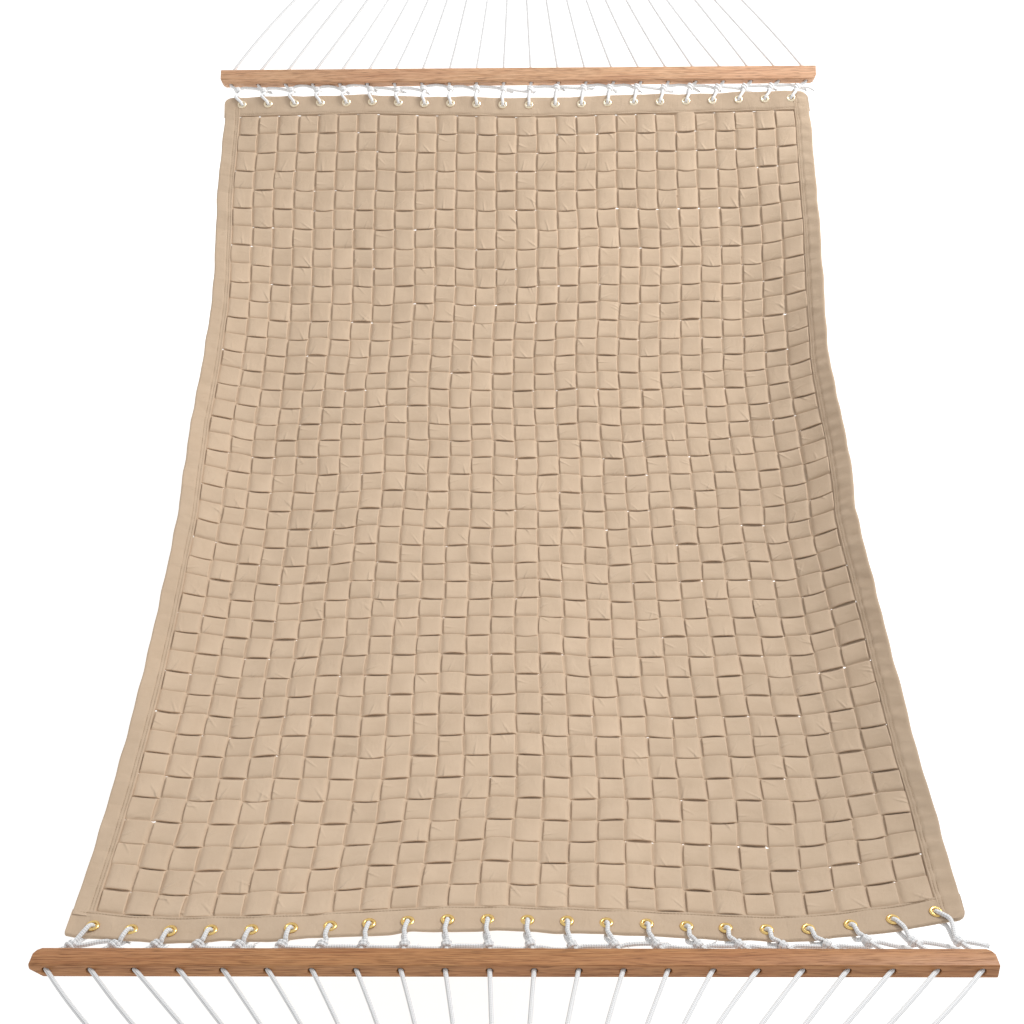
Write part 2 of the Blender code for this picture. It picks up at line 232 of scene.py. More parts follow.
def on_bed(x, s, height=0.0):
    """A point a height above the bed, with the slow unevenness of real cloth."""
    x = np.asarray(x, float)
    s = np.asarray(s, float)
    inner = np.sin(np.clip(s / BED_LENGTH, 0, 1) * math.pi) ** 0.5
    within = 1 - np.clip(np.abs(x) / HALF_WIDTH, 0, 1) ** 6
    foot = 1 - eased(s / FOOT_REACH)
    head = 1 - eased((BED_LENGTH - s) / HEAD_REACH)
    left = np.interp(s, LEFT_S, LEFT_SHIFT)
    right = np.interp(s, RIGHT_S, RIGHT_SHIFT)
    share = np.clip(x / (2 * HALF_WIDTH) + 0.5, -0.05, 1.05)
    side = left * (1 - share) + right * share
    side = side * (1 - foot) + np.interp(x, FOOT_X, FOOT_ACROSS) * foot
    side = side + waves(x, s, SIDE_WAVES) * inner * within
    length = np.interp(s, np.linspace(0, BED_LENGTH, ROWS + 1), ROW_SHIFT)
    length = length + np.interp(x, FOOT_X, FOOT_ALONG) * foot + np.interp(x, HEAD_X, HEAD_ALONG) * head
    length = length + waves(x, s, LENGTH_WAVES) * (0.3 + 0.7 * inner)
    rise = waves(x, s, HEIGHT_WAVES) * (0.35 + 0.65 * inner)
    x = x + side
    s = s + length
    step = 0.0005
    point = bed(x, s)
    across = bed(x + step, s) - bed(x - step, s)
    along = bed(x, s + step) - bed(x, s - step)
    normal = unit(np.cross(across, along))
    return point + normal * np.asarray(height + rise)[..., None]


# ---------------------------------------------------------------- meshes
class Shape:
    """Gathers closed swept forms and makes one mesh object of them."""

    def __init__(self):
        self.points = []
        self.faces = []
        self.uvs = []
        self.count = 0

    def sweep(self, sections, around, along, looped=False):
        """Joins rings of points. around has one more value than a ring has points."""
        rings, size, _ = sections.shape
        first = np.arange(rings if looped else rings - 1)
        i, j = np.meshgrid(first, np.arange(size), indexing="ij")
        following = (i + 1) % rings
        beside = (j + 1) % size
        after = following * size
        quads = np.stack([i * size + j, i * size + beside, after + beside, after + j], -1)
        across = np.stack([around[j], around[j + 1], around[j + 1], around[j]], -1)
        length = np.stack([along[i], along[i], along[i + 1], along[i + 1]], -1)
        quads = quads.reshape(-1, 4) + self.count
        uv = np.stack([across, length], -1).reshape(-1, 4, 2)
        middle = min(rings // 2, rings - 2)
        ring = sections[middle] - sections[middle].mean(0)
        area = np.cross(ring, np.roll(ring, -1, 0)).sum(0)
        travel = sections[middle + 1].mean(0) - sections[middle].mean(0)
        outward = area @ travel > 0
        if not outward:
            quads = quads[:, ::-1]
            uv = uv[:, ::-1]
        self.faces += quads.tolist()
        self.uvs.append(uv.reshape(-1, 2))
        if not looped:
            for ring_index in (0, rings - 1):
                cap = np.arange(size) + ring_index * size + self.count
                values = np.stack([around[:-1], np.full(size, along[ring_index])], -1)
                if (ring_index == 0) == outward:
                    cap = cap[::-1]
                    values = values[::-1]
                self.faces.append(cap.tolist())
                self.uvs.append(values)
        self.points.append(sections.reshape(-1, 3))
        self.count += rings * size

    def make(self, name, finish, sharp=None):
        mesh = bpy.data.meshes.new(name)
        mesh.from_pydata(np.concatenate(self.points).tolist(), [], self.faces)
        layer = mesh.uv_layers.new(name="surface")
        layer.data.foreach_set("uv", np.concatenate(self.uvs).astype(np.float32).ravel())
        mesh.shade_smooth()
        if sharp is not None:
            mesh.set_sharp_from_angle(angle=math.radians(sharp))
        mesh.materials.append(finish)
        made = bpy.data.objects.new(name, mesh)
        bpy.context.scene.collection.objects.link(made)
        return made


def spline(corners, longest=0.02, turn=12.0, fine=24):
    """A smooth path through corners, with points close together where it bends."""
    p = np.array(corners, float)
    ends = np.vstack([2 * p[0] - p[1], p, 2 * p[-1] - p[-2]])
    knots = np.concatenate([[0], np.cumsum(np.sqrt(np.linalg.norm(np.diff(ends, axis=0), axis=1)))])
    dense = []
    for k in range(1, len(ends) - 2):
        t0, t1, t2, t3 = knots[k - 1 : k + 3]
        t = np.linspace(t1, t2, fine, endpoint=False)[:, None]
        p0, p1, p2, p3 = ends[k - 1 : k + 3]
        a1 = (t1 - t) / (t1 - t0) * p0 + (t - t0) / (t1 - t0) * p1
        a2 = (t2 - t) / (t2 - t1) * p1 + (t - t1) / (t2 - t1) * p2
        a3 = (t3 - t) / (t3 - t2) * p2 + (t - t2) / (t3 - t2) * p3
        b1 = (t2 - t) / (t2 - t0) * a1 + (t - t0) / (t2 - t0) * a2
        b2 = (t3 - t) / (t3 - t1) * a2 + (t - t1) / (t3 - t1) * a3
        dense.append((t2 - t) / (t2 - t1) * b1 + (t - t1) / (t2 - t1) * b2)
    dense.append(ends[-2:-1])
    dense = np.concatenate(dense)
    kept = [dense[0]]
    limit = math.cos(math.radians(turn))
    way = unit(dense[1] - dense[0])
    for index in range(1, len(dense) - 1):
        ahead = unit(dense[index + 1] - dense[index])
        if np.linalg.norm(dense[index] - kept[-1]) > longest or ahead @ way < limit:
            kept.append(dense[index])
            way = ahead
    kept.append(dense[-1])
    return np.array(kept)


def tube(path, radius, sides):
    """Rings of points round a path, turned as little as can be from one to the next."""
    path = np.asarray(path, float)
    radius = np.broadcast_to(np.asarray(radius, float), len(path))
    ways = unit(np.gradient(path, axis=0))
    side = np.cross(ways[0], (0.0, 0.0, 1.0))
    if np.linalg.norm(side) < 0.1:
        side = np.cross(ways[0], (1.0, 0.0, 0.0))
    side = unit(side)
    turns = np.arange(sides) * math.tau / sides
    rings = []
    for point, way, reach in zip(path, ways, radius):
        side = unit(side - way * (side @ way))
        up = np.cross(way, side)
        rings.append(point + reach * (np.cos(turns)[:, None] * side + np.sin(turns)[:, None] * up))
    return np.array(rings)


def lengths(path):
    return np.concatenate([[0], np.cumsum(np.linalg.norm(np.diff(path, axis=0), axis=1))])


def add_tube(shape, path, radius, sides, start=0.0, rounded_ends=False):
    path = np.asarray(path, float)
    radius = np.broadcast_to(np.asarray(radius, float), len(path)).copy()
    if rounded_ends:
        head = path[0] - unit(path[1] - path[0]) * radius[0] * 0.7
        tail = path[-1] + unit(path[-1] - path[-2]) * radius[-1] * 0.7
        path = np.vstack([head, path, tail])
        radius = np.concatenate([[radius[0] * 0.55], radius, [radius[-1] * 0.55]])
    around = np.linspace(0, 1, sides + 1)
    shape.sweep(tube(path, radius, sides), around, lengths(path) + start)


# ---------------------------------------------------------------- materials
class Finish:
    """A material, with short calls that each add a node and return its output."""

    def __init__(self, name):
        self.material = bpy.data.materials.new(name)
        self.material.use_nodes = True
        self.tree = self.material.node_tree
        self.shader = self.tree.nodes["Principled BSDF"]

    def plug(self, value, socket):
        """Sets a socket to a number, vector or colour, or links an output to it."""
        if isinstance(value, tuple) and socket.type == "RGBA":
            socket.default_value = (*value, 1.0)
        elif isinstance(value, (int, float, tuple)):
            socket.default_value = value
        else:
            self.tree.links.new(value, socket)

    def surface(self, values):
        """Gives the shader its values and returns the material."""
        for name, value in values.items():
            self.plug(value, self.shader.inputs[name])
        return self.material

    def add(self, kind, inputs, **settings):
        made = self.tree.nodes.new("ShaderNode" + kind)
        for name, value in settings.items():
            setattr(made, name, value)
        for name, value in inputs.items():
            self.plug(value, made.inputs[name])
        return made.outputs

    def maths(self, operation, a, b=None):
        values = {0: a} if b is None else {0: a, 1: b}
        return self.add("Math", values, operation=operation)[0]

    def times(self, a, b):
        return self.maths("MULTIPLY", a, b)

    def plus(self, a, b):
        return self.maths("ADD", a, b)

    def minus(self, a, b):
        return self.maths("SUBTRACT", a, b)

    def parts(self, vector):
        return self.add("SeparateXYZ", {0: vector})

    def uv(self):
        return self.add("UVMap", {}, uv_map="surface")["UV"]

    def spot(self):
        """The place in the object's own metres."""
        return self.add("TexCoord", {})["Object"]

    def mapped(self, source, scale, turn=0.0):
        return self.add("Mapping", {"Vector": source, "Scale": scale, "Rotation": (0.0, 0.0, turn)})[0]

    def noise(self, source, scale, detail=3.0, roughness=0.5, distortion=0.0):
        values = {"Vector": source, "Scale": scale, "Detail": detail, "Roughness": roughness}
        return self.add("TexNoise", {**values, "Distortion": distortion})["Fac"]

    def ranged(self, value, low, high, to_low=0.0, to_high=1.0, kind="LINEAR"):
        values = {"Value": value, "From Min": low, "From Max": high, "To Min": to_low, "To Max": to_high}
        return self.add("MapRange", values, interpolation_type=kind)["Result"]

    def mixed(self, share, a, b, kind="MIX"):
        return self.add("Mix", {0: share, 6: a, 7: b}, data_type="RGBA", blend_type=kind)[2]

    def bumped(self, height, distance, strength=1.0, before=None):
        values = {"Height": height, "Distance": distance, "Strength": strength}
        if before is not None:
            values["Normal"] = before
        return self.add("Bump", values)["Normal"]

    def waved(self, turns, pitch):
        """Angles round a strand and along it. The strand's UVs are its turns and metres."""
        around, along = self.parts(self.uv())[:2]
        return self.times(around, turns * math.tau), self.times(along, math.tau / pitch)


def tinted(colour, tint):
    return tuple(a * b for a, b in zip(colour, tint))


def fold(made, across, along, turn, place, picked):
    """One soft crease in a square, strong at one side and gone past the middle."""
    angle = made.ranged(turn, 0.0, 1.0, -1.2, 1.2)
    cosine = made.maths("COSINE", angle)
    sine = made.maths("SINE", angle)
    away = made.plus(made.times(along, cosine), made.times(across, sine))
    away = made.minus(away, made.ranged(place, 0.0, 1.0, -0.38, 0.38))
    down = made.minus(made.times(across, cosine), made.times(along, sine))
    ridge = made.ranged(made.maths("ABSOLUTE", away), 0.0, 0.085, 1.0, 0.0, "SMOOTHSTEP")
    ridge = made.times(ridge, made.ranged(down, -0.45, 0.20, 1.0, 0.0, "SMOOTHSTEP"))
    return made.times(ridge, made.ranged(picked, 0.62, 0.80))


def cloth(name, shade=1.0, strip_width=None, pitch=0.047):
    """Matt tan canvas, with painted shade that darkens it a little to the right. Its UVs are metres across
    and along a strip.
    """
    made = Finish(name)
    place = made.uv()
    u, v = made.parts(place)[:2]
    base, dark, light = [
        tinted(colour, (shade, shade, shade))
        for colour in ((0.625, 0.472, 0.335), (0.585, 0.436, 0.304), (0.665, 0.510, 0.368))
    ]
    mottle = made.noise(place, 19.0, 3.0, 0.55)
    colour = made.mixed(made.ranged(mottle, 0.3, 0.7), dark, light)
    colour = made.mixed(0.45, colour, base)
    squares = made.maths("DIVIDE", v, pitch)
    cell = made.add("TexWhiteNoise", {"W": made.maths("FLOOR", squares)}, noise_dimensions="1D")
    tone = made.ranged(cell["Value"], 0.0, 1.0, 0.965, 1.03)
    fine = made.noise(place, 900.0, 2.0, 0.6)
    tone = made.times(tone, made.ranged(fine, 0.2, 0.8, 0.93, 1.06))
    # Painted highlight: the colour is lightened along each strip's rounded edges.
    if strip_width is not None:
        edge = made.maths("ABSOLUTE", made.minus(u, strip_width / 2))
        tone = made.times(tone, made.ranged(edge, strip_width * 0.455, strip_width * 0.485, 1.0, 1.09))
    # Painted shade: the colour is darkened towards the bed's right side, most at the foot end, where the
    # tilted right side falls into shade.
    spot = made.parts(made.spot())
    right_shade_mask = made.ranged(spot[0], 0.05, 0.66, 0.0, 1.0, "SMOOTHSTEP")
    darker = made.times(right_shade_mask, made.ranged(spot[1], MIDDLE_Y - 0.7, MIDDLE_Y + 1.0, 0.165, 0.075))
    tone = made.times(tone, made.minus(1.0, darker))
    grey = made.add("CombineColor", {0: tone, 1: tone, 2: tone})[0]
    slow = made.noise(made.mapped(place, (1.0, 1.6, 1.0), 0.6), 34.0, 2.0, 0.5, 0.6)
    normal = made.bumped(slow, 0.0024, 0.6)
    if strip_width is not None:
        across = made.minus(made.maths("DIVIDE", u, strip_width), 0.5)
        along = made.minus(made.maths("FRACT", squares), 0.5)
        one, two, three = made.add("SeparateColor", {0: cell["Color"]})[:3]
        creases = [fold(made, across, along, *draws) for draws in ((one, two, three), (three, one, two))]
        normal = made.bumped(made.plus(*creases), 0.0016, 0.8, normal)
    threads = [made.maths("SINE", made.times(way, math.tau / THREAD_PITCH)) for way in (u, v)]
    normal = made.bumped(made.times(*threads), 0.00012, 0.8, normal)
    return made.surface({
        "Base Color": made.mixed(1.0, colour, grey, "MULTIPLY"),
        "Roughness": made.ranged(fine, 0.2, 0.8, 0.82, 0.96),
        "Specular IOR Level": 0.25,
        "Sheen Weight": 0.12,
        "Sheen Roughness": 0.5,
        "Normal": normal,
    })


def thread(name):
    """Twisted tan sewing thread, with painted shade in the grooves between its plies."""
    made = Finish(name)
    around, along = made.waved(3, 0.0008)
    ply = made.maths("SINE", made.plus(around, along))
    return made.surface({
        "Base Color": made.mixed(made.ranged(ply, -1.0, 1.0), (0.37, 0.25, 0.155), (0.58, 0.43, 0.29)),
        "Roughness": made.ranged(ply, -1.0, 1.0, 0.75, 0.6),
        "Normal": made.bumped(ply, 0.0001, 0.8),
    })


def rope_finish(name, white, shadow, strands=4.0, pitch=0.0075):
    """White braided cord, with painted shade between its strands."""
    made = Finish(name)
    around, along = made.waved(strands, pitch)
    one = made.maths("SINE", made.plus(around, along))
    two = made.maths("SINE", made.minus(around, along))
    braid = made.ranged(made.times(one, two), -1.0, 1.0)
    fuzz = made.noise(made.mapped(made.uv(), (8.0, 1400.0, 1.0)), 1.0, 3.0, 0.6)
    dirt = made.noise(made.mapped(made.uv(), (3.0, 60.0, 1.0)), 0.6, 3.0)
    colour = made.mixed(made.ranged(braid, 0.1, 0.6), shadow, white)
    dirty = tinted(white, (0.88, 0.86, 0.83))
    return made.surface({
        "Base Color": made.mixed(made.ranged(dirt, 0.56, 0.75, 0.0, 0.5), colour, dirty),
        "Roughness": made.ranged(fuzz, 0.2, 0.8, 0.68, 0.9),
        "Sheen Weight": 0.2,
        "Normal": made.bumped(fuzz, 0.00025, 0.7, made.bumped(braid, 0.0006, 0.8)),
    })


def oak_finish(name, tint):
    """Reddish-brown oiled oak. The object's X runs along the grain."""
    made = Finish(name)
    where = made.spot()
    figure = made.noise(made.mapped(where, (3.4, 170.0, 170.0)), 1.6, 5.0, 0.7, 1.0)
    streak = made.noise(made.mapped(where, (11.0, 520.0, 520.0)), 1.5, 3.0, 0.7, 0.3)
    pore = made.noise(made.mapped(where, (30.0, 900.0, 900.0)), 1.0, 1.0, 0.5)
    patch = made.noise(made.mapped(where, (4.5, 14.0, 14.0)), 1.0, 2.0)
    deep, warm = tinted((0.270, 0.108, 0.042), tint), tinted((0.450, 0.210, 0.086), tint)
    pale, red = tinted((0.560, 0.290, 0.132), tint), tinted((0.420, 0.170, 0.072), tint)
    colour = made.mixed(made.ranged(figure, 0.38, 0.59), deep, warm)
    colour = made.mixed(made.ranged(streak, 0.44, 0.58, 0.0, 0.7), colour, pale)
    colour = made.mixed(made.ranged(patch, 0.4, 0.65, 0.0, 0.35), colour, red)
    pores = made.ranged(pore, 0.56, 0.66, 0.0, 0.60)
    shine = made.ranged(figure, 0.3, 0.7, 0.52, 0.40)
    normal = made.bumped(streak, 0.00025, 0.6)
    return made.surface({
        "Base Color": made.mixed(pores, colour, tinted((0.130, 0.050, 0.020), tint)),
        "Roughness": made.plus(shine, made.ranged(pore, 0.5, 0.7, 0.0, 0.2)),
        "Specular IOR Level": 0.3,
        "Coat Weight": 0.04,
        "Coat Roughness": 0.35,
        "Normal": made.bumped(made.minus(1.0, pores), 0.0003, 0.6, normal),
    })


def metal_finish(name, colour, worn, rough, speckle):
    """Plated metal with dull patches and fine scratches."""
    made = Finish(name)
    where = made.spot()
    cloud = made.noise(where, speckle, 4.0, 0.6)
    scratch = made.noise(made.mapped(where, (900.0, 900.0, 60.0), 0.7), 1.0, 2.0)
    shine = made.ranged(cloud, 0.3, 0.7, rough - 0.06, rough + 0.12)
    return made.surface({
        "Base Color": made.mixed(made.ranged(cloud, 0.35, 0.7), colour, worn),
        "Metallic": 1.0,
        "Roughness": made.plus(shine, made.ranged(scratch, 0.55, 0.7, 0.0, 0.12)),
        "Normal": made.bumped(scratch, 0.00005, 0.5, made.bumped(cloud, 0.00015, 0.5)),
    })


THREAD_PITCH = 0.0009
LENGTH_STRIP_WIDTH = COLUMN_PITCH * 0.905
CROSS_STRIP_WIDTH = ROW_PITCH * 0.998
FABRIC_LONG = cloth("tan_canvas_lengthwise", 1.0, LENGTH_STRIP_WIDTH, ROW_PITCH)
FABRIC_CROSS = cloth("tan_canvas_crosswise", 1.0, CROSS_STRIP_WIDTH, COLUMN_PITCH)
FABRIC_HEM = cloth("tan_canvas_hem", 0.94)
THREAD = thread("tan_thread")
# The head end's ropes use a lighter copy of the same cord: painted light.
ROPE = {
    "foot": rope_finish("white_braid", (0.82, 0.825, 0.83), (0.52, 0.53, 0.54)),
    "head": rope_finish("white_braid_painted_light", (0.92, 0.92, 0.92), (0.76, 0.77, 0.78)),
}
TWINE = rope_finish("white_twine", (0.79, 0.77, 0.73), (0.50, 0.49, 0.47), 3.0, 0.004)
# One oak in two copies: the head bar's copy is tinted much paler, which is painted light.
OAK = {
    "foot": oak_finish("oiled_oak", (0.95, 0.94, 0.90)),
    "head": oak_finish("oiled_oak_painted_light", (1.40, 1.75, 2.40)),
}
STEEL = metal_finish("zinc_plated_steel", (0.62, 0.63, 0.65), (0.44, 0.45, 0.47), 0.34, 220.0)
# The head eyelets use a pale cream copy of the brass: a painted reflection of the white surroundings.
BRASS = {
    "foot": metal_finish("polished_brass", (0.96, 0.72, 0.30), (0.80, 0.52, 0.17), 0.22, 500.0),
    "head": metal_finish("brass_painted_reflection", (1.0, 0.90, 0.72), (0.92, 0.76, 0.52), 0.30, 500.0),
}


# ---------------------------------------------------------------- woven strips
def ribbon_profile(width, thickness):
    """Across and height of a flat folded strip, from its middle: proud rounded edges, and a flat back."""
    half = width / 2
    thick = thickness / 2
    top = [(-1.0, 0.0), (-0.988, 0.75), (-0.955, 1.12), (-0.86, 0.98), (0.0, 1.0)]
    top += [(0.86, 0.98), (0.955, 1.12), (0.988, 0.75), (1.0, 0.0)]
    bottom = [(0.965, -0.95), (0.0, -1.0), (-0.965, -0.95)]
    return np.array([(x * half, z * thick) for x, z in top + bottom])


# A strip's line over one square: the places, and how high it is there when lengthwise and when crosswise
SQUARE_PLACES = np.array([-0.5, -0.475, -0.45, -0.42, -0.38, -0.31, -0.16, 0.1, 0.3, 0.37, 0.41, 0.44, 0.47])
LENGTH_ARCH = np.array([-1.0, -0.75, -0.25, 0.30, 0.70, 0.92, 1.0, 1.0, 1.0, 0.85, 0.40, -0.25, -0.80])
CROSS_ARCH = np.array([-0.85, -0.60, -0.22, 0.20, 0.55, 0.84, 1.0, 1.0, 1.0, 0.92, 0.68, 0.25, -0.40])


def strip_line(squares, first_over, extra, arch):
    """Places along a strip in squares, and its height there: 1 over and -1 under."""
    places = []
    heights = []
    for square in range(squares):
        over = (square % 2 == 0) == first_over
        places.append(square + 0.5 + SQUARE_PLACES)
        heights.append(arch if over else np.full(len(arch), -1.0))
    places = np.concatenate([[-extra], *places, [squares, squares + extra]])
    heights = np.concatenate([[-0.6], *heights, [-0.8, -0.6]])
    return places, heights


def bulge(places, squares):
    """How far inside its square each place is: 1 in the middle and 0 at the edges."""
    inside = places - np.floor(places) - 0.5
    return np.clip(1 - (2 * np.abs(inside)) ** 2.2, 0, 1) * ((places > 0) & (places < squares))


def per_square(values, places):
    """Eases from one square's value to the next."""
    centres = np.arange(len(values)) + 0.5
    return np.interp(places, centres, values)


PUFF = 0.0006  # how far a square swells
GAPE = 0.0017  # how far a crosswise square's near edge stands open
SLIDE = 0.0011  # how far a crosswise square slips to the near end


def strip(shape, kind, index):
    """One strip of the weave as a closed ribbon that goes over and under the others."""
    lengthwise = kind == "lengthwise"
    squares = ROWS if lengthwise else COLUMNS
    pitch = ROW_PITCH if lengthwise else COLUMN_PITCH
    width = LENGTH_STRIP_WIDTH if lengthwise else CROSS_STRIP_WIDTH
    first_over = (index % 2 == 0) if lengthwise else (index % 2 == 1)
    places, over = strip_line(squares, first_over, 0.2, LENGTH_ARCH if lengthwise else CROSS_ARCH)
    wide = per_square(rng.normal(1.0, 0.014, squares), places)
    drift = per_square(rng.normal(0.0, 0.0011, squares), places)
    tilt = per_square(rng.normal(0.0, 0.014, squares), places)
    jitter = per_square(rng.normal(0.0, 0.00025, squares), places)
    swell = bulge(places, squares) * np.clip(over, 0, 1)
    puff = PUFF * (0.5 + per_square(rng.random(squares), places)) * swell
    gape = GAPE * (0.45 + 0.85 * per_square(rng.random(squares) ** 3, places)) * swell
    slide = SLIDE * (0.5 + 2.3 * per_square(rng.random(squares) ** 2, places)) * swell
    height = over * (STRIP_THICKNESS / 2 + 0.0001) + jitter + puff
    profile = ribbon_profile(width, STRIP_THICKNESS)
    across = profile[None, :, 0] * wide[:, None] + drift[:, None]
    share = profile[None, :, 0] / (width / 2)
    near_edge = np.clip(-share, 0, 1) ** 2
    above = profile[None, :, 1] + height[:, None] + tilt[:, None] * across
    if not lengthwise:
        above = above + gape[:, None] * near_edge
        across = across - slide[:, None] * (0.5 + near_edge)
    along = places * pitch
    if lengthwise:
        middle = -INNER_HALF + (index + 0.5) * COLUMN_PITCH
        points = on_bed(middle + across, np.repeat(along[:, None], len(profile), 1), above)
    else:
        middle = (index + 0.5) * ROW_PITCH
        points = on_bed(np.repeat(along[:, None] - INNER_HALF, len(profile), 1), middle + across, above)
    around = np.concatenate([profile[:, 0] + width / 2, [0.0]])
    around[9:12] = width - around[9:12] + width
    around[12] = 2 * width
    offset = 44 * index * pitch
    shape.sweep(points, around, along + offset)


def woven_strips():
    made = {}
    for name, kind, indexes in (
        ("lengthwise_strips_left", "lengthwise", range(0, 14)),
        ("lengthwise_strips_right", "lengthwise", range(14, 28)),
        ("crosswise_strips_foot", "crosswise", range(0, 21)),
        ("crosswise_strips_head", "crosswise", range(21, 42)),
    ):
        shape = Shape()
        for index in indexes:
            strip(shape, kind, index)
        made[name] = shape.make(name, FABRIC_LONG if kind == "lengthwise" else FABRIC_CROSS)
    return made


# ---------------------------------------------------------------- hems
STITCH_ROWS = (0.0045, 0.0095)  # from a side hem's inner edge
END_STITCH_ROW = 0.0050
HEM_OVERLAP = 0.001
PUNCH_RADIUS = 0.0061
CORNER_ROUND = {"foot left": 0.003, "foot right": 0.017, "head left": 0.015, "head right": 0.015}


def groove(distance, width=0.0016):
    return np.exp(-((distance / width) ** 2))


def corner_cut(beyond, reach, limit):
    """How far a rounded corner cuts in, at places beyond the start of the other edge."""
    t = np.clip((beyond - (limit - reach)) / reach, 0, 1)
    return reach * (1 - np.sqrt(1 - t**2))


def over_end_hems(side, s):
    """How far a side hem is raised at places along it. The left one stops short of the foot hem."""
    at_foot = eased((0.006 - s) / 0.012) * (side == "right")
    return ON_TOP * (at_foot + eased((s - BED_LENGTH + 0.006) / 0.012))


def side_hem(side):
    """The folded band down one side of the bed, puckered along its two rows of stitches."""
    sign = -1.0 if side == "left" else 1.0
    pucker = 0.0005 if side == "left" else 0.0011
    droop = 0.0018
    share = np.array([0.0, 0.015, 0.05, 0.09, 0.13, 0.17, 0.22, 0.27, 0.31, 0.36])
    share = np.concatenate([share, [0.44, 0.55, 0.68, 0.80, 0.90, 0.96, 0.99, 1.0]])
    across = share * SIDE_HEM_WIDTH
    edge = np.minimum(share, 1 - share)
    round_off = np.clip(edge / 0.05, 0, 1) ** 0.5
    back_share = np.array([0.985, 0.85, 0.5, 0.15, 0.015])
    first = -0.012 if side == "left" else 0.0008 - END_HEM_WIDTH
    along = np.arange(first, BED_LENGTH + END_HEM_WIDTH - 0.0008, 0.0062)
    along = np.concatenate([along, BED_LENGTH + END_HEM_WIDTH - np.array([0.0035, 0.002, 0.0008])])
    along = np.unique(np.concatenate([along, first + np.array([0.0012, 0.0026])]).round(5))
    half = HEM_THICKNESS / 2
    stitched = groove(across - STITCH_ROWS[0]) + groove(across - STITCH_ROWS[1])
    phase = np.cumsum(rng.normal(1.0, 0.35, len(along))) * 0.0065
    ripple = np.sin(phase * math.tau / 0.034) + 0.6 * np.sin(phase * math.tau / 0.057 + 1.3)
    slow = np.sin(along * 11.0 + 0.7) + 0.7 * np.sin(along * 23.0 + 2.0)
    grow = 1 - groove(across - 0.007, 0.004) * 0.3
    lean = np.clip((across - 0.010) / SIDE_HEM_WIDTH, 0, 1)
    top = half * round_off - 0.0011 * stitched
    grow = grow * np.sin(np.clip(share * 1.1, 0, 1) * math.pi)
    top = top + pucker * ripple[:, None] * grow + droop * slow[:, None] * lean**1.5
    back_round = np.clip(np.minimum(back_share, 1 - back_share) / 0.05, 0, 1) ** 0.5
    bottom = -half * back_round + droop * slow[:, None] * np.clip(back_share - 0.28, 0, 1) ** 1.5
    distance = np.concatenate([across, back_share * SIDE_HEM_WIDTH])
    height = np.concatenate([top, bottom], 1)
    wobble = 0.0005 * np.sin(along * 47.0) + 0.0004 * np.sin(along * 83.0 + 1.0)
    cut = corner_cut(-along, CORNER_ROUND[f"foot {side}"], END_HEM_WIDTH)
    cut = cut + corner_cut(along - BED_LENGTH, CORNER_ROUND[f"head {side}"], END_HEM_WIDTH)
    reach = distance * (1 - cut / SIDE_HEM_WIDTH)[:, None]
    x = INNER_HALF - HEM_OVERLAP + reach + wobble[:, None] * (distance / SIDE_HEM_WIDTH)
    s = np.repeat(along[:, None], len(distance), 1)
    height = height + over_end_hems(side, along)[:, None]
    shape = Shape()
    around = np.concatenate([across, 2 * SIDE_HEM_WIDTH - distance[len(share) :], [2 * SIDE_HEM_WIDTH]])
    shape.sweep(on_bed(sign * x, s, height + 0.0006), around, along + (20.0 if side == "left" else 30.0))
    return shape.make(f"{side}_side_hem", FABRIC_HEM)


def stitches(shape, x, s, height, pitch=0.0050, radius=0.00042):
    """A row of thread stitches through places on the bed."""
    points = on_bed(x, s, height)
    run = lengths(points)
    count = int(run[-1] / pitch)
    starts = (np.arange(count) + 0.12) * pitch
    for start in starts:
        marks = start + np.array([0.0, 0.3, 0.7, 1.0]) * pitch * 0.72
        dip = np.array([-0.0006, 0.0002, 0.0002, -0.0006])
        places_x = np.interp(marks, run, x)
        places_s = np.interp(marks, run, s)
        base = np.interp(marks, run, height)
        add_tube(shape, on_bed(places_x, places_s, base + dip), radius, 5, start)


